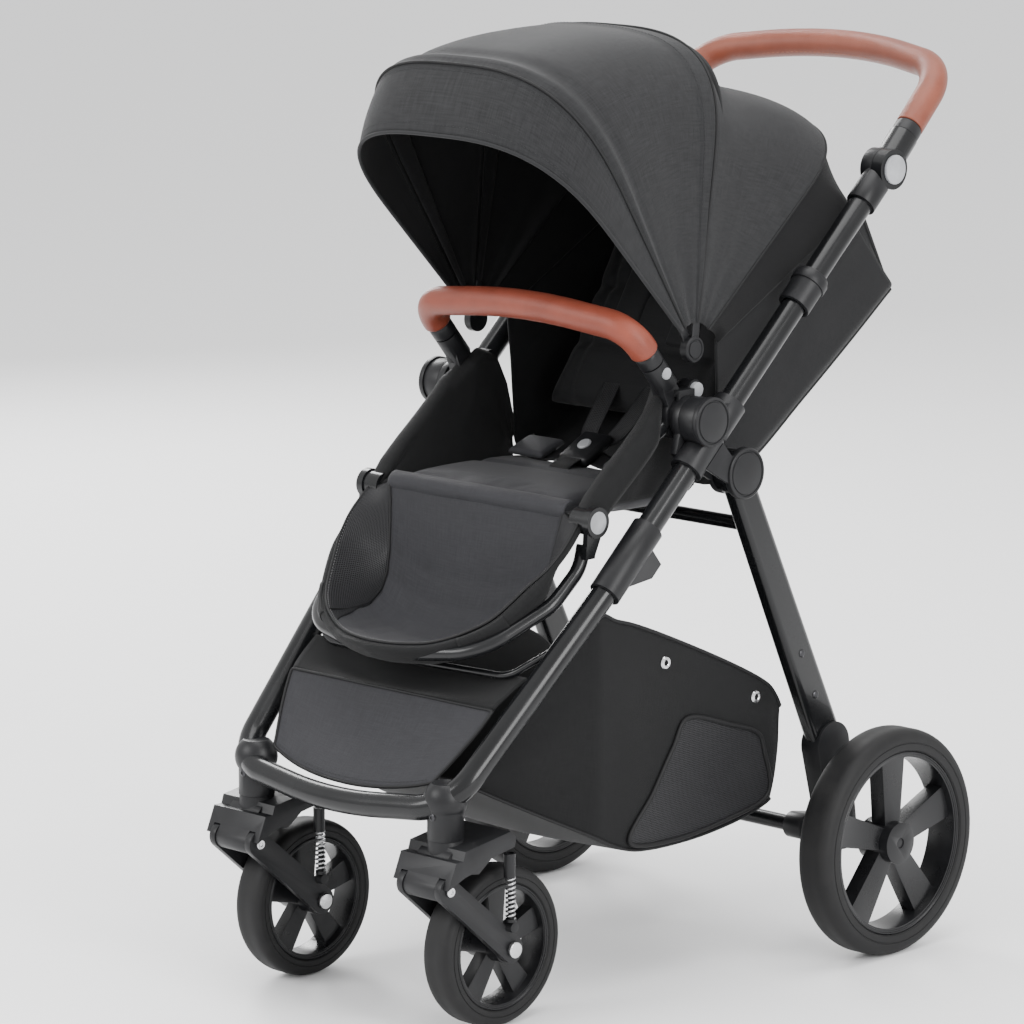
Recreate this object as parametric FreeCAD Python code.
"""Folding baby stroller: aluminium tube chassis, reclining seat unit, canopy and storage basket.

Millimetres.  +X is the stroller's left side, -Y is its front, +Z is up.
The origin is on the floor, under the middle of the whole stroller.
"""
import FreeCAD, Part
import math
import os

from FreeCAD import Placement, Rotation, Vector

# ---------------------------------------------------------------- driving dimensions
CENTRE_SHIFT = -31.19        # moves every piece along Y, so that the origin is under the middle
TUBE_R = 14.0                # chassis tube, outside radius
TUBE_X = 195.0               # centre plane of the side tubes
PUSH_ANGLE = 42.6            # slope of the side tubes above the floor, degrees

FOLD = (-11.0, 636.0)        # fold hinge, (y, z); the seat hubs share this axis
FOLD_OFFSET = 25.0           # from the fold hinge down to the tube's centre line
LEG_HINGE = (46.0, 571.5)    # rear leg hinge
HANDLE_S = 398.0             # handle hub, distance along the side tube from the fold hinge

CORNER_X = 148.5             # front casters
CORNER_Y = -360.0
POST_BOTTOM = 219.5
KNUCKLE = (-388.0, 172.0)
FRONT_AXLE = (-291.0, 89.0)
FRONT_WHEEL_R = 89.0
FRONT_TYRE_W = 40.0
REAR_WHEEL_X = 271.0
REAR_AXLE = (224.0, 131.0)
REAR_WHEEL_R = 131.0
REAR_TYRE_W = 46.0

HUB_X = 148.0                # inner end of each seat hub
SEAT_TUBE_X = 160.0          # seat frame side tubes
SEAT_TUBE_R = 9.0
FOOT_HINGE = (-156.0, 539.0)
FOOT_RIM_R = 8.0
FOOT_PIN_R = 5.0
FOOT_HUB_END = 180.4         # kept inside the push tubes, which swing past when folding
BUMPER_X = 160.0
CANOPY_PIVOT = (7.0, 710.0)
CANOPY_HALF_W = 172.0
CANOPY_CLOTH = 3.0
SEAT_HALF_W = 142.0          # outside of the seat liner

FIT = 0.05                   # radial clearance of pins and shafts
GAP = 0.4                    # gap between pieces that move past each other
SPOKES = 5


# ---------------------------------------------------------------- small helpers
def point(x, yz):
    return Vector(x, yz[0], yz[1])


def on_tube(s, off=0.0):
    """(y, z) at distance s up the side tube's line, off to its upper side."""
    a = math.radians(PUSH_ANGLE)
    side = off - FOLD_OFFSET
    return (FOLD[0] + s * math.cos(a) - side * math.sin(a),
            FOLD[1] + s * math.sin(a) + side * math.cos(a))


def turned(centre, radius, angle):
    a = math.radians(angle)
    return (centre[0] + radius * math.cos(a), centre[1] + radius * math.sin(a))


def rod(p, q, r):
    return Part.makeCylinder(r, (q - p).Length, p, q - p)


def cyl_x(yz, r, x0, x1):
    return Part.makeCylinder(r, x1 - x0, point(x0, yz), Vector(1, 0, 0))


def cyl_z(x, y, r, z0, z1):
    return Part.makeCylinder(r, z1 - z0, Vector(x, y, z0), Vector(0, 0, 1))


def box(x0, x1, y0, y1, z0, z1):
    return Part.makeBox(x1 - x0, y1 - y0, z1 - z0, Vector(x0, y0, z0))


def plate(outline, x0, x1):
    """A side outline of (y, z) points, x0 to x1 thick."""
    pts = [point(x0, p) for p in outline]
    face = Part.Face(Part.makePolygon(pts + pts[:1]))
    return face.extrude(Vector(x1 - x0, 0, 0))


def link(c1, r1, c2, r2, x0, x1):
    """Side plate with a round end at each of two centres."""
    dy, dz = c2[0] - c1[0], c2[1] - c1[1]
    d = math.hypot(dy, dz)
    along = math.degrees(math.atan2(dz, dy))
    spread = math.degrees(math.acos((r1 - r2) / d))
    sides = [turned(c1, r1, along + spread), turned(c2, r2, along + spread),
             turned(c2, r2, along - spread), turned(c1, r1, along - spread)]
    body = plate(sides, x0, x1)
    return body.fuse([cyl_x(c1, r1, x0, x1), cyl_x(c2, r2, x0, x1)]).removeSplitter()


def bent_tube(points, bends, r):
    """Round tube along straight runs, with a bend radius at each inner point."""
    edges = []
    start = points[0]
    for before, corner, after, radius in zip(points, points[1:], points[2:], bends):
        u = (before - corner).normalize()
        v = (after - corner).normalize()
        half = u.getAngle(v) / 2
        back = radius / math.tan(half)
        p, q = corner + u * back, corner + v * back
        middle_dir = (u + v).normalize()
        centre = corner + middle_dir * (radius / math.sin(half))
        middle = centre - middle_dir * radius
        edges.append(Part.LineSegment(start, p).toShape())
        edges.append(Part.Arc(p, middle, q).toShape())
        start = q
    edges.append(Part.LineSegment(start, points[-1]).toShape())
    path = Part.Wire(edges)
    first = (points[1] - points[0]).normalize()
    ring = Part.Wire([Part.makeCircle(r, points[0], first)])
    return path.makePipeShell([ring], True, True)


def mirrored(shape):
    return shape.mirror(Vector(0, 0, 0), Vector(1, 0, 0))


def both(shape):
    return Part.makeCompound([shape, mirrored(shape)])


def save(name, shape):
    shape = shape.copy()
    shape.translate(Vector(0, CENTRE_SHIFT, 0))
    shape.exportStep("parts/%s.step" % name)
    worst = min(s.Volume for s in shape.Solids)
    box_ = shape.BoundBox
    print("%-22s solids %d valid %s smallest %9.1f  y %7.1f %7.1f  z %7.1f %7.1f" %
          (name, len(shape.Solids), shape.isValid(), worst, box_.YMin, box_.YMax, box_.ZMin, box_.ZMax))


def save_pair(name, shape):
    save(name + "_left", shape)
    save(name + "_right", mirrored(shape))


# ---------------------------------------------------------------- front chassis
BEND_S = -215.0              # where the side tubes start to run inwards
FRONT_BEND = (165.0, -372.0, 256.0)
FRONT_BOW = (-388.0, 240.0)  # middle of the front bar
FRONT_BEND_R = 58.0
SLEEVE_R = 19.0
SLEEVE_S = (-52.0, -0.6)     # chassis half of the fold casting
CHEEK_X = 179.0              # inner cheek of the fold casting
PUSH_KNUCKLE = (187.9, 209.1)
COVER_X = (209.5, 214.5)


def front_tube():
    top = point(TUBE_X, on_tube(-4.0))
    knee = point(TUBE_X, on_tube(BEND_S))
    corner = Vector(*FRONT_BEND)
    bow = point(0.0, FRONT_BOW)
    half = [top, knee, corner, bow]
    other = [Vector(-p.x, p.y, p.z) for p in reversed(half[:-1])]
    bends = [300.0, FRONT_BEND_R, 500.0, FRONT_BEND_R, 300.0]
    swing = cyl_x(FOLD, 26.6, PUSH_KNUCKLE[0] - GAP, PUSH_KNUCKLE[1] + GAP)
    return bent_tube(half + other, bends, TUBE_R).cut(swing).cut(mirrored(swing))


def along(s0, s1, r, x=TUBE_X):
    """Round sleeve on the side tube's line."""
    return rod(point(x, on_tube(s0)), point(x, on_tube(s1)), r)


def fold_casting(tube):
    """Sleeve on the front tube, cheek and cover of the fold hinge, arm of the leg hinge."""
    sleeve = along(SLEEVE_S[0], SLEEVE_S[1], SLEEVE_R)
    cheek = cyl_x(FOLD, 26.0, CHEEK_X, PUSH_KNUCKLE[0] - GAP)
    cheek = cheek.fuse(plate([on_tube(-45, 0), on_tube(-45, 19), on_tube(-26, 30), on_tube(-1, 24),
                              on_tube(-1, 0)], CHEEK_X, PUSH_KNUCKLE[0] - GAP))
    cover = cyl_x(FOLD, 27.5, *COVER_X)
    pin = cyl_x(FOLD, 6.0, CHEEK_X, COVER_X[1])
    arm_out = plate([on_tube(-40, -8), on_tube(-3, -8), on_tube(-3, -30), turned(LEG_HINGE, 27, 60),
                     turned(LEG_HINGE, 27, 200)], 208.0, 213.0)
    arm_out = arm_out.fuse(cyl_x(LEG_HINGE, 29.0, 208.0, 214.0))
    arm_in = plate([on_tube(-40, -8), on_tube(-3, -8), on_tube(-3, -30), turned(LEG_HINGE, 25, 60),
                    turned(LEG_HINGE, 25, 200)], 179.5, 185.0)
    arm_in = arm_in.fuse(cyl_x(LEG_HINGE, 26.0, 179.5, 185.0))
    leg_pin = cyl_x(LEG_HINGE, 7.0, 180.0, 213.0)
    body = sleeve.fuse([cheek, cover, pin, arm_out, arm_in, leg_pin])
    swing = cyl_x(FOLD, 26.6, PUSH_KNUCKLE[0] - GAP, PUSH_KNUCKLE[1] + GAP)
    swing = swing.cut(cyl_x(FOLD, 6.0, 180.0, 215.0))
    leg_room = cyl_x(LEG_HINGE, 26.0, 185.0, 208.0).cut(cyl_x(LEG_HINGE, 7.0, 180.0, 214.0))
    return body.cut(swing).cut(leg_room).cut(tube).removeSplitter()


def frame_bracket(tube):
    """Stop bracket on the lower tube, with a wing on its rear side."""
    sleeve = along(-228, -135, 18.0)
    wing = plate([on_tube(-206, -15), on_tube(-172, -40), on_tube(-152, -40), on_tube(-150, -15)],
                 TUBE_X - 7, TUBE_X + 7)
    return sleeve.fuse(wing).cut(tube).removeSplitter()


def caster_post(tube):
    post = cyl_z(CORNER_X, CORNER_Y, 20.0, POST_BOTTOM, 268.0)
    saddle = Part.makeSphere(24.0, Vector(CORNER_X, CORNER_Y, 262.0))
    saddle = saddle.common(box(100, 200, -420, -300, 240, 281))
    bore = cyl_z(CORNER_X, CORNER_Y, 6.0 + FIT, POST_BOTTOM - 1, 241.0)
    return post.fuse(saddle).cut(bore).cut(tube).removeSplitter()


def apron():
    """Cloth panel between the front tubes, ahead of the basket."""
    low, high = Vector(0, -358, 272), Vector(0, -297, 345)
    thick = Vector(0, 2.0, -2.2)
    corners = [Vector(-118, low.y, low.z), Vector(118, low.y, low.z),
               Vector(152, high.y, high.z), Vector(-152, high.y, high.z)]
    return Part.Face(Part.makePolygon(corners + corners[:1])).extrude(thick)


def rest_wire():
    """Bent wire under the leg rest, between the side tubes."""
    half = [Vector(182, -222, 411), Vector(143, -258, 379), Vector(0, -264, 377)]
    other = [Vector(-p.x, p.y, p.z) for p in reversed(half[:-1])]
    return bent_tube(half + other, [34.0, 300.0, 34.0], 4.0)


BASKET_SIDE = [(-300.0, 268.0), (-165.0, 440.0), (-73.0, 408.0), (9.0, 373.0), (127.0, 316.0),
               (150.0, 292.0), (136.0, 176.0), (43.0, 156.0), (-85.0, 152.0)]
BASKET_WALL = 3.0


def basket():
    """Open-topped sling; its side walls follow the front tubes inwards."""
    def plan(inset):
        half = [(176 - inset, 400), (176 - inset, -150), (122 - inset, -330)]
        pts = half + [(-x, y) for x, y in reversed(half)]
        pts = [Vector(x, y, 0) for x, y in pts]
        return Part.Face(Part.makePolygon(pts + pts[:1])).extrude(Vector(0, 0, 1000))
    outer = plate(BASKET_SIDE, -180, 180).common(plan(0))
    w = BASKET_WALL
    inside = [(-296.0 + w, 272.0), (-168.0 + 2 * w, 444.0), (-120.0, 600.0), (147.0, 600.0),
              (150.0 - w, 292.0), (136.0 - w, 176.0 + w), (43.0, 156.0 + w), (-85.0 + 1, 152.0 + w)]
    inner = plate(inside, -180, 180).common(plan(w))
    return outer.cut(inner)


# ---------------------------------------------------------------- rear legs
LEG_X = (186.0, 207.0)
LEG_WIDTH = 40.0
BEAM = (160.0, 147.0)        # cross beam between the rear feet
LEG_END = (206.0, 231.0)
STRETCHER = (77.0, 506.5)    # tube between the rear legs, below the backrest


def rear_leg():
    dy, dz = LEG_END[0] - LEG_HINGE[0], LEG_END[1] - LEG_HINGE[1]
    length = math.hypot(dy, dz)
    uy, uz = dy / length, dz / length

    def across(distance, width):
        return (LEG_HINGE[0] + uy * distance - uz * width / 2,
                LEG_HINGE[1] + uz * distance + uy * width / 2)
    outline = [across(4, 36), across(length, LEG_WIDTH + 4), across(length, -LEG_WIDTH - 4), across(4, -36)]
    blade = plate(outline, *LEG_X)
    long_edges = [e for e in blade.Edges
                  if abs(e.Vertexes[0].Point.x - e.Vertexes[1].Point.x) < 0.1 and e.Length > length * 0.8]
    blade = blade.makeFillet(7.0, long_edges)
    knuckle = cyl_x(LEG_HINGE, 25.0, *LEG_X)
    return blade.fuse(knuckle).cut(cyl_x(LEG_HINGE, 7.0 + FIT, 170, 220)).removeSplitter()


def rear_foot(leg):
    """Casting that joins the leg, the cross beam and the wheel's stub axle."""
    upper = link(REAR_AXLE, 21.0, (203.0, 236.0), 27.0, 184.0, 210.0)
    lower = link(REAR_AXLE, 19.0, BEAM, 15.0, 184.0, 208.0)
    stub = cyl_x(REAR_AXLE, 16.0, 205.0, 244.0)
    spindle = cyl_x(REAR_AXLE, 6.0, 240.0, 292.0)
    body = upper.fuse([lower, stub, spindle]).cut(leg)
    return body.cut(cyl_x(BEAM, 9.0, 150.0, 200.0)).removeSplitter()


def brake_pedal():
    collar = cyl_x(BEAM, 14.0, -30, 30)
    tread = plate([(160, 152), (204, 152), (214, 158), (214, 163), (200, 160), (160, 161)], -34, 34)
    return collar.fuse(tread).cut(cyl_x(BEAM, 9.0 + 0.15, -50, 50)).removeSplitter()


# ---------------------------------------------------------------- wheels
def ring(yz, r_out, r_in, x0, x1):
    return cyl_x(yz, r_out, x0, x1).cut(cyl_x(yz, r_in, x0 - 1, x1 + 1))


def tyre(yz, x, r, width, section):
    solid = ring(yz, r, r - section, x - width / 2, x + width / 2)
    outer = [e for e in solid.Edges if abs(e.BoundBox.ZLength - 2 * r) < 0.5]
    return solid.makeFillet(min(width / 2, section) * 0.62, outer)


def wheel(yz, x, rim_r, rim_wall, width, hub_r, bore_r, hub_half, root_w, tip_w):
    """Rim, five blade spokes and hub."""
    body = ring(yz, rim_r, rim_r - rim_wall, x - width / 2, x + width / 2)
    body = body.fuse(cyl_x(yz, hub_r, x - hub_half, x + hub_half))
    for i in range(SPOKES):
        a = 90 + 360.0 * i / SPOKES
        outline = [turned(yz, hub_r * 0.8, a + 40), turned(yz, hub_r * 0.8, a - 40)]
        outline += [(yz[0] + (rim_r - 2) * math.cos(math.radians(a)) + side * tip_w / 2 * math.sin(math.radians(a)),
                     yz[1] + (rim_r - 2) * math.sin(math.radians(a)) - side * tip_w / 2 * math.cos(math.radians(a)))
                    for side in (1, -1)]
        body = body.fuse(plate(outline, x - root_w / 2, x + root_w / 2))
    return body.cut(cyl_x(yz, bore_r, x - 60, x + 60)).removeSplitter()


# ---------------------------------------------------------------- casters
ARM_IN, ARM_OUT = 24.5, 33.0          # fork legs, distance from the wheel's middle plane
SPRING_TOP = (-303.0, 212.0)
SPRING_FOOT = (-297.0, 116.0)
SPRING_X = 37.5


def caster_crown():
    """Swivel cup, nose that holds the fork, and arched arms over the wheel for the springs."""
    x = CORNER_X
    cup = cyl_z(x, CORNER_Y, 19.5, 182.0, POST_BOTTOM - GAP)
    stem = cyl_z(x, CORNER_Y, 6.0, 200.0, 240.0)
    nose = link(KNUCKLE, 13.0, (-366.0, 196.0), 16.0, x - 23.5, x + 23.5)
    arch = plate([(-380, 190), (-372, 214), (-345, 218), (SPRING_TOP[0], 224), (SPRING_TOP[0] + 8, 216),
                  (SPRING_TOP[0] + 6, 206), (-332, 200), (-352, 186)], x - 42.0, x + 42.0)
    skirt = plate([(-398, 176), (-386, 204), (-352, 204), (-352, 190), (-372, 186)], x - 42.0, x + 42.0)
    keep = box(x - 42, x + 42, -420, -280, 150, 240)
    body = cup.fuse([stem, nose, arch.common(keep), skirt])
    legs_room = link(KNUCKLE, 15.5, FRONT_AXLE, 17.0, ARM_IN - 0.6, ARM_OUT + 0.6)
    for side in (1, -1):
        room = legs_room.copy()
        room = room if side == 1 else mirrored(room)
        room.translate(Vector(x, 0, 0))
        body = body.cut(room)
        swung = room.copy()
        swung.rotate(point(0, KNUCKLE), Vector(1, 0, 0), 7.0)
        body = body.cut(swung)
    bore = cyl_x(KNUCKLE, 6.0 + FIT, x - 60, x + 60)
    return body.cut(bore).removeSplitter()


def suspension_arm():
    """Two fork legs on the knuckle pin, with a lug for each spring."""
    x = CORNER_X
    leg = link(KNUCKLE, 14.0, FRONT_AXLE, 15.0, ARM_IN, ARM_OUT)
    lug = cyl_x(SPRING_FOOT, 6.0, ARM_OUT - 2, SPRING_X + 4)
    leg = leg.fuse(lug).cut(cyl_x(FRONT_AXLE, 5.0, 0, 60))
    pin = cyl_x(KNUCKLE, 6.0, -ARM_OUT - 2, ARM_OUT + 2)
    body = pin.fuse([leg, mirrored(leg)])
    body.translate(Vector(x, 0, 0))
    return body.removeSplitter()


def front_axle():
    x = CORNER_X
    shaft = cyl_x(FRONT_AXLE, 5.0, x - 38, x + 38)
    heads = [cyl_x(FRONT_AXLE, 9.0, x + ARM_OUT, x + 38), cyl_x(FRONT_AXLE, 9.0, x - 38, x - ARM_OUT)]
    return shaft.fuse(heads).removeSplitter()


def caster_springs():
    top, foot = Vector(0, SPRING_TOP[0], 199.0), Vector(0, SPRING_FOOT[0], SPRING_FOOT[1] + 7)
    springs = []
    for side in (1, -1):
        shift = Vector(CORNER_X + side * SPRING_X, 0, 0)
        springs.append(rod(foot + shift, top + shift, 6.0))
    return Part.makeCompound(springs)


# ---------------------------------------------------------------- push frame and handle
PUSH_SLEEVE_S = (0.6, 46.0)
SLIDER_S = (189.0, 234.0)
HUB_SPLIT_X = 195.0
GRIP_R = 16.5
HANDLE_CORNER = Vector(183.0, 417.0, 990.0)
HANDLE_TOP = Vector(0.0, 462.0, 1013.0)
HANDLE_BENDS = [60.0, 420.0, 60.0]


def push_casting():
    sleeve = along(PUSH_SLEEVE_S[0], PUSH_SLEEVE_S[1], SLEEVE_R)
    knuckle = cyl_x(FOLD, 26.0, *PUSH_KNUCKLE)
    web = plate([on_tube(1, 10), on_tube(1, 25), on_tube(20, 25), on_tube(42, 10)], *PUSH_KNUCKLE)
    body = sleeve.fuse([knuckle, web])
    body = body.cut(cyl_x(FOLD, 26.6, 170.0, PUSH_KNUCKLE[0] - 0.02))
    body = body.cut(cyl_x(FOLD, 28.2, PUSH_KNUCKLE[1], 220.0))
    body = body.cut(cyl_x(FOLD, 6.0 + FIT, 170, 220))
    body = body.cut(cyl_x(FOLD, 37.0, 170.0, TONGUE[1] + GAP))     # lets the seat adaptor's blade pass
    return body.cut(push_tube_solid(False)).removeSplitter()


def push_tube_solid(trim=True):
    tube = along(5.0, HANDLE_S - 24.5, TUBE_R)
    if not trim:
        return tube
    room = cyl_x(FOLD, 26.6, 170.0, PUSH_KNUCKLE[0] - 0.02).fuse(cyl_x(FOLD, 28.2, PUSH_KNUCKLE[1], 220.0))
    return tube.cut(room)


def fold_slider():
    body = along(SLIDER_S[0], SLIDER_S[1], SLEEVE_R)
    grip = along(SLIDER_S[0] + 30, SLIDER_S[1] - 4, SLEEVE_R + 2.0)
    return body.fuse(grip).cut(along(0, 300, TUBE_R + 0.4)).removeSplitter()


def handle_hub():
    centre = on_tube(HANDLE_S)
    body = along(343.0, HANDLE_S - 4, 17.5)
    body = body.cut(cyl_x(centre, 24.2, HUB_SPLIT_X - 0.3, 230.0))
    disc = cyl_x(centre, 23.0, 179.0, HUB_SPLIT_X - 0.3)
    pin = cyl_x(centre, 6.0, 185.0, 205.0)
    return body.fuse([disc, pin]).cut(push_tube_solid(False)).removeSplitter()


def handle_path(start):
    half = [start, HANDLE_CORNER, HANDLE_TOP]
    other = [Vector(-p.x, p.y, p.z) for p in reversed(half[:-1])]
    return half + other


def handle_tube():
    centre = on_tube(HANDLE_S)
    arm_dir = (HANDLE_CORNER - point(TUBE_X, centre)).normalize()
    tube = bent_tube(handle_path(point(TUBE_X, centre) + arm_dir * 18.0), HANDLE_BENDS, 13.0)
    for side in (1, -1):
        arm = rod(point(TUBE_X, centre) + arm_dir * 4.0, point(TUBE_X, centre) + arm_dir * 50.0, 17.0)
        room = cyl_x(centre, 24.2, 150.0, HUB_SPLIT_X + 0.3)
        disc = cyl_x(centre, 23.0, HUB_SPLIT_X + 0.3, 210.0)
        hole = cyl_x(centre, 6.0 + FIT, 150.0, 206.0)
        seat = cyl_x(centre, 17.0, 207.0, 220.0)
        end = arm.cut(room).fuse(disc).cut(hole).cut(seat)
        cut = room
        if side == -1:
            end, cut = mirrored(end), mirrored(cut)
        tube = tube.cut(cut).fuse(end)
    return tube.removeSplitter()


def handle_grip():
    centre = on_tube(HANDLE_S)
    arm_dir = (HANDLE_CORNER - point(TUBE_X, centre)).normalize()
    start = point(TUBE_X, centre) + arm_dir * 66.0
    path = handle_path(start)
    return bent_tube(path, HANDLE_BENDS, GRIP_R).cut(handle_tube())


def handle_button():
    centre = on_tube(HANDLE_S)
    return cyl_x(centre, 16.7, 209.0, 213.5)


# ---------------------------------------------------------------- seat unit
HUB_R = 25.0
TONGUE = (172.3, 177.7)      # seat adaptor blade, in x
RELEASE = (14.0, 664.0)      # release button on the seat adaptor
RELEASE_R = 8.5
BUMPER_CORE_R = 10.0
BUMPER_GRIP_R = 16.5
BUMPER_FOOT = Vector(BUMPER_X, -34.0, 681.0)
BUMPER_BEND = Vector(BUMPER_X, -84.0, 741.0)
BUMPER_MIDDLE = Vector(0, -88.0, 757.0)
BUMPER_BENDS = [34.0, 800.0, 34.0]


def seat_socket_cut():
    """Slot in the chassis casting that the seat adaptor's blade slides down into."""
    return box(TONGUE[0] - 0.3, TONGUE[1] + 0.3, FOLD[0] - 12.4, FOLD[0] + 12.4, 617.6, 680.0)


def seat_socket():
    shell = link((FOLD[0], 634.0), 20.0, (FOLD[0], 640.0), 20.0, 169.4, CHEEK_X)
    return shell.cut(seat_socket_cut()).removeSplitter()


def on_arm(distance):
    """Point on the left bumper arm, measured from its foot in the seat hub."""
    step = (BUMPER_BEND - BUMPER_FOOT).normalize()
    return BUMPER_FOOT + step * distance


def seat_hub():
    """Hub drum, blade for the chassis socket, socket of the bumper arm, housing of the button."""
    drum = cyl_x(FOLD, HUB_R, HUB_X, 168.9)
    step = cyl_x(FOLD, HUB_R - 4, HUB_X - 5.0, HUB_X)
    blade = box(TONGUE[0], TONGUE[1], FOLD[0] - 12, FOLD[0] + 12, 618.0, 668.0)
    bridge = box(160.0, TONGUE[1], FOLD[0] - 12, FOLD[0] + 12, 660.8, 668.0)
    neck = link(FOLD, 14.0, (BUMPER_FOOT.y, BUMPER_FOOT.z), 10.0, 150.0, 168.6)
    arm_socket = rod(on_arm(-10.0), on_arm(24.0), 14.0)
    housing = link(FOLD, 12.0, RELEASE, 11.0, 150.0, 166.0)
    body = drum.fuse([step, blade, bridge, neck, arm_socket, housing])
    body = body.cut(rod(on_arm(-0.5), on_arm(60.0), BUMPER_CORE_R + 0.15))
    return body.cut(cyl_x(RELEASE, RELEASE_R + 0.1, 156.0, 180.0)).removeSplitter()


def release_button():
    """Round button on top of each seat adaptor; pressed to lift the seat off."""
    return cyl_x(RELEASE, RELEASE_R, 160.0, 171.5)


def seat_frame(hubs):
    side = bent_tube([point(SEAT_TUBE_X, (-22.0, 632.0)), point(SEAT_TUBE_X, (-74.0, 606.0)),
                      point(SEAT_TUBE_X, FOOT_HINGE)], [40.0], SEAT_TUBE_R)
    boss = cyl_x(FOOT_HINGE, 15.0, 150.0, 171.0)
    boss = boss.fuse(cyl_x(FOOT_HINGE, FOOT_PIN_R, 171.0, FOOT_HUB_END))
    cross = bent_tube([Vector(150, -146, 528), Vector(140, -118, 523), Vector(-140, -118, 523), Vector(-150, -146, 528)],
                      [8.0, 8.0], 6.0)
    body = side.fuse([boss, mirrored(side), mirrored(boss), cross])
    return body.cut(hubs[0]).cut(hubs[1]).removeSplitter()


def seat_liner():
    """Padded seat pan with a cloth wing up each side."""
    pan = plate([(-150, 532), (-158, 546), (-150, 554), (38, 547), (36, 533), (-100, 534)],
                -SEAT_HALF_W, SEAT_HALF_W)
    wing = plate([(-146, 548), (-84, 610), (-40, 660), (-20, 700), (6, 690), (30, 620), (37, 548)],
                 SEAT_HALF_W - 6, SEAT_HALF_W)
    return pan.fuse([wing, mirrored(wing)]).removeSplitter()


def bumper_bar(start, r):
    half = [start, BUMPER_BEND, BUMPER_MIDDLE]
    other = [Vector(-p.x, p.y, p.z) for p in reversed(half[:-1])]
    return bent_tube(half + other, BUMPER_BENDS, r)


def bumper_core():
    return bumper_bar(on_arm(0.0), BUMPER_CORE_R)


def bumper_grip():
    return bumper_bar(on_arm(42.0), BUMPER_GRIP_R).cut(bumper_core())


# ---------------------------------------------------------------- backrest and canopy
SHELL_SIDE = [(72.0, 538.0), (124.0, 566.0), (366.0, 736.0), (304.0, 828.0), (276.0, 836.0),
              (60.0, 716.0), (44.0, 640.0), (64.0, 580.0)]
SHELL_HALF_W = 164.0
SHELL_WALL = 6.0


def backrest_shell():
    """Cloth bucket behind the child: side walls, sloping underside and upright rear end."""
    outer = plate(SHELL_SIDE, -SHELL_HALF_W, SHELL_HALF_W)
    w = SHELL_WALL
    inside = [(40.0, 570.0), (69.0, 543.0), (121.0, 571.5), (358.0, 738.0), (298.0, 826.0), (276.0, 900.0),
              (20.0, 900.0)]
    return outer.cut(plate(inside, -SHELL_HALF_W + w, SHELL_HALF_W - w))


def backrest_pad():
    return plate([(102.0, 586.0), (254.0, 833.0), (233.0, 844.0), (81.0, 597.0)], -138, 138)


def harness():
    """Two shoulder straps with pads, lying on the backrest."""
    strap = plate([(90.1, 612.5), (213.2, 812.8), (210.9, 814.2), (87.8, 614.0)], 32.0, 62.0)
    return both(strap)


def canopy_half_section(phi, base, a, rise, exponent=3.0, steps=9):
    """Points of a bow's outline in the plane through the canopy pivot at angle phi."""
    pts = []
    for i in range(steps + 1):
        t = i / steps * math.pi / 2
        x = a * math.cos(t) ** (2 / exponent)
        r = base + rise * math.sin(t) ** (2 / exponent)
        pts.append(point(x, turned(CANOPY_PIVOT, r, phi)))
    return pts


def bow_wire(phi, low, base, rise, a, drop=0.0):
    """Closed outline of the canopy at one angle: up one side, over the top, down, and back across."""
    right = canopy_half_section(phi, base - drop, a - drop, rise)
    left = [Vector(-p.x, p.y, p.z) for p in reversed(right[:-1])]
    foot_r = point(a - drop, turned(CANOPY_PIVOT, low - drop, phi))
    foot_l = Vector(-foot_r.x, foot_r.y, foot_r.z)
    arch = Part.BSplineCurve()
    arch.interpolate(right + left)
    return Part.Wire([Part.LineSegment(foot_r, right[0]).toShape(), arch.toShape(),
                      Part.LineSegment(left[-1], foot_l).toShape(), Part.LineSegment(foot_l, foot_r).toShape()])


# angle, straight side height, rise of the arch above it
BOW_REAR = (26.8, 262.0, 76.0)
BOW_REAR_TOP = (42.0, 230.0, 125.0)
BOW_REAR_MID = (60.0, 205.0, 118.0)
BOW_MID = (81.7, 200.0, 146.0)
BOW_FRONT_MID = (102.0, 198.0, 158.0)
BOW_FRONT = (122.5, 196.0, 180.0)
BOW_VISOR = (134.0, 176.0, 162.0)
CANOPY_LOW = 30.0            # bottom edge of the cloth, above the pivot
BOW_FOOT = 10.0              # ends of the bows, from the pivot
BOW_DISC_R = 14.0
BOW_WIDTH = 8.0
BOW_WALL = 4.0


def canopy_panel(stations):
    """Cloth shell between the first and last of the stations, open underneath."""
    def block(drop, low):
        wires = [bow_wire(phi, low, base, rise, CANOPY_HALF_W, drop) for phi, base, rise in stations]
        return Part.makeLoft(wires, True, False)
    def beyond(end, inner):
        """A station 3 degrees past the end one, on the line from the one inside it."""
        over = 3.0 if end[0] > inner[0] else -3.0
        return tuple(e + (e - n) * over / (end[0] - inner[0]) for e, n in zip(end, inner))
    inner = [beyond(stations[0], stations[1])] + stations + [beyond(stations[-1], stations[-2])]
    wires = [bow_wire(phi, CANOPY_LOW - 12, base, rise, CANOPY_HALF_W, CANOPY_CLOTH) for phi, base, rise in inner]
    return block(0.0, CANOPY_LOW).cut(Part.makeLoft(wires, True, False))


def canopy_bow(station, slack):
    """Flat bow under the cloth, from the pivot on one side over the top to the other; slack is its gap."""
    phi, base, rise = station
    drop = CANOPY_CLOTH + slack
    outer = Part.Face(bow_wire(phi, BOW_FOOT, base, rise, CANOPY_HALF_W, drop))
    inner = Part.Face(bow_wire(phi, -BOW_FOOT, base, rise, CANOPY_HALF_W, drop + BOW_WALL))
    a = math.radians(phi + 90)
    across = Vector(0, math.cos(a), math.sin(a))
    band = outer.cut(inner)
    band.translate(across * (-BOW_WIDTH / 2))
    side = CANOPY_HALF_W - drop
    disc = cyl_x(CANOPY_PIVOT, BOW_DISC_R, side - BOW_WALL, side)
    return band.extrude(across * BOW_WIDTH).fuse([disc, mirrored(disc)]).removeSplitter()


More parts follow.
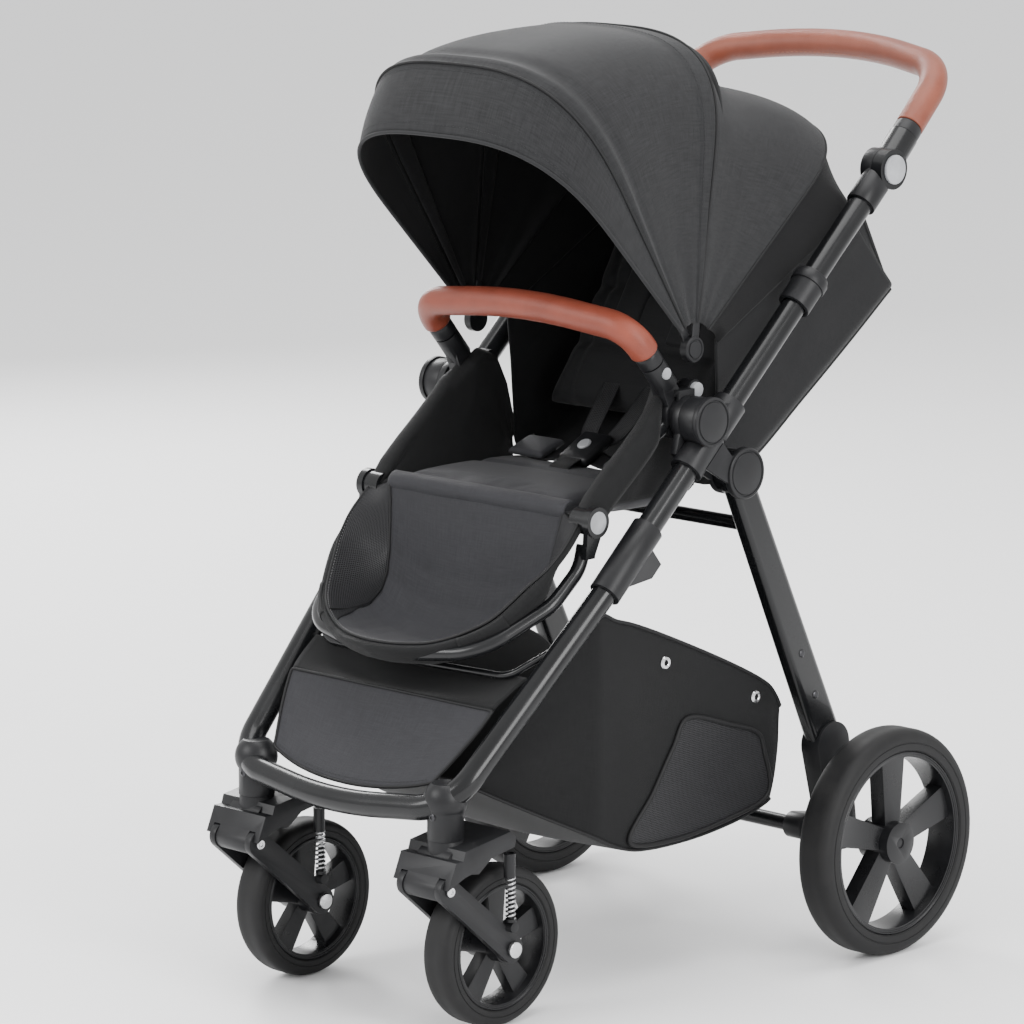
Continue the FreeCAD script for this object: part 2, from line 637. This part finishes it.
# ---------------------------------------------------------------- leg rest
LINER_WALL = 5.0
LINER_SIDE = [(-163.0, 546.0), (-320.0, 408.0), (-302.0, 394.0), (-262.0, 387.0), (-205.0, 400.0),
              (-178.0, 445.0), (-158.0, 525.0)]
LINER_HOLLOW = [(-170.0, 600.0), (-400.0, 420.0), (-308.0, 404.0), (-299.0, 399.0), (-262.0, 392.0),
                (-209.0, 404.5), (-183.0, 447.0), (-164.5, 525.0)]
FOOT_SIDE = [(165.0, -156.0, 539.0), (165.0, -170.0, 488.0), (165.0, -212.0, 454.0), (130.0, -290.0, 408.0),
             (0.0, -322.0, 394.0)]
FOOT_BENDS = [40.0, 60.0, 70.0, 260.0, 70.0, 60.0, 40.0]


def footrest_path(r):
    half = [Vector(*p) for p in FOOT_SIDE]
    half[0] = half[0] + (half[1] - half[0]).normalize() * 26.0
    other = [Vector(-p.x, p.y, p.z) for p in reversed(half[:-1])]
    return bent_tube(half + other, FOOT_BENDS, r)


def footrest_tube():
    rim = footrest_path(FOOT_RIM_R)
    disc = cyl_x(FOOT_HINGE, 17.0, 171.4, FOOT_HUB_END).cut(cyl_x(FOOT_HINGE, FOOT_PIN_R + FIT, 165.0, 200.0))
    neck = plate([turned(FOOT_HINGE, 16.0, 205), turned(FOOT_HINGE, 16.0, 300),
                  (-158.0, 504.0), (-172.0, 504.0)], 171.4, 178.0)
    neck = neck.fuse(plate([(-156.0, 514.0), (-172.0, 514.0), (-173.0, 500.0), (-159.0, 500.0)], 162.0, 178.0))
    end = disc.fuse(neck).removeSplitter()
    return rim.fuse([end, mirrored(end)]).removeSplitter()


def footrest_liner():
    """Cloth bowl inside the rim: it hangs from the knee edge and comes forward to the rim."""
    def plan(inset):
        half = [(146 - inset, -120), (146 - inset, -206), (118 - inset, -266), (70 - inset / 2, -296),
                (0, -312 + inset)]
        pts = [Vector(x, y, 350) for x, y in half] + [Vector(-x, y, 350) for x, y in reversed(half[:-1])]
        return Part.Face(Part.makePolygon(pts + pts[:1])).extrude(Vector(0, 0, 250))
    outer = plate(LINER_SIDE, -150, 150).common(plan(0.0))
    inner = plate(LINER_HOLLOW, -150, 150).common(plan(LINER_WALL))
    return outer.cut(inner)


# ---------------------------------------------------------------- make every piece
def main():
    os.makedirs("parts", exist_ok=True)
    tube = front_tube()
    save("front_frame_tube", tube)
    casting = fold_casting(tube).fuse(seat_socket()).cut(seat_socket_cut()).removeSplitter()
    save_pair("fold_casting", casting)
    save("stop_brackets", both(frame_bracket(tube)))
    save("caster_posts", both(caster_post(tube)))
    save("front_apron", apron())
    save("leg_rest_wire", rest_wire().cut(tube))
    save("storage_basket", basket())

    leg = rear_leg()
    save_pair("rear_leg", leg)
    save("rear_feet", both(rear_foot(leg)))
    save("rear_cross_beam", cyl_x(BEAM, 9.0, -200.0, 200.0))
    save("leg_stretcher", cyl_x(STRETCHER, 8.0, -LEG_X[0], LEG_X[0]))
    save("brake_pedal", brake_pedal())

    rear_rim = wheel(REAR_AXLE, REAR_WHEEL_X, 106.0, 7.0, 38.0, 24.0, 6.0 + FIT, 22.0, 20.0, 40.0)
    save_pair("rear_wheel", rear_rim)
    save_pair("rear_tyre", tyre(REAR_AXLE, REAR_WHEEL_X, REAR_WHEEL_R, REAR_TYRE_W, 25.0))
    front_rim = wheel(FRONT_AXLE, CORNER_X, 70.0, 6.0, 34.0, 17.0, 5.0 + FIT, 23.7, 16.0, 28.0)
    save_pair("front_wheel", front_rim)
    save_pair("front_tyre", tyre(FRONT_AXLE, CORNER_X, FRONT_WHEEL_R, FRONT_TYRE_W, 19.0))

    save_pair("caster_crown", caster_crown())
    save_pair("suspension_arm", suspension_arm())
    save_pair("front_axle", front_axle())
    save_pair("caster_springs", caster_springs())

    save_pair("push_casting", push_casting())
    save_pair("push_tube", push_tube_solid())
    save_pair("fold_slider", fold_slider())
    save_pair("handle_hub", handle_hub())
    save("handle_tube", handle_tube())
    save("handle_grip", handle_grip())
    save_pair("handle_button", handle_button())

    hub = seat_hub()
    save_pair("seat_hub", hub)
    save_pair("release_button", release_button())
    save("seat_frame", seat_frame([hub, mirrored(hub)]))
    save("seat_liner", seat_liner())
    save("bumper_core", bumper_core())
    save("bumper_grip", bumper_grip())

    save("backrest_shell", backrest_shell())
    save("backrest_pad", backrest_pad())
    save("harness_straps", harness())
    save("canopy_rear_panel", canopy_panel([BOW_REAR, BOW_REAR_TOP, BOW_REAR_MID, BOW_MID]))
    save("canopy_middle_panel", canopy_panel([BOW_MID, BOW_FRONT_MID, BOW_FRONT]))
    save("canopy_visor", canopy_panel([BOW_FRONT, BOW_VISOR]))
    save("canopy_middle_bow", canopy_bow(BOW_MID, 1.4))
    save("canopy_front_bow", canopy_bow(BOW_FRONT, 6.0))

    save("footrest_rim", footrest_tube())
    save("footrest_liner", footrest_liner().cut(footrest_path(FOOT_RIM_R + 0.6)))


main()
